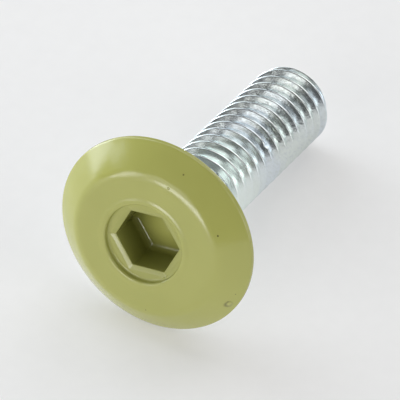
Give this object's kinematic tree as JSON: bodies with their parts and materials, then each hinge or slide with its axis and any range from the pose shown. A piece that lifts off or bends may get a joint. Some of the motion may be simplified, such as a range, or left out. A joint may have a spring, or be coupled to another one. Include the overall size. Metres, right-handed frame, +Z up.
{
  "type": "countersunk socket screw",
  "caption": "One-piece machine screw with a wide bevelled countersunk head, a hexagon socket and a fully threaded M6 shank, lying as it comes to rest.",
  "frame": {"origin": "on the ground under the middle of the lying screw's outer box: midway between its front and back, in the vertical plane that holds its axis", "axes": "+Y runs level from the drive face towards the tip, with the screw's axis leaning 12.4 degrees down from the head to the tip in the vertical YZ plane; +Z is up; +X is level, to the right of a viewer who looks at the drive face"},
  "size_m": [0.0144, 0.023, 0.0141],
  "materials": {
    "zinc_steel": "steel with bright, faintly blue zinc plate",
    "enamel": "glossy olive-yellow coat baked on the head"
  },
  "bodies": {
    "root": {"screw": "zinc_steel"}
  },
  "joints": []
}
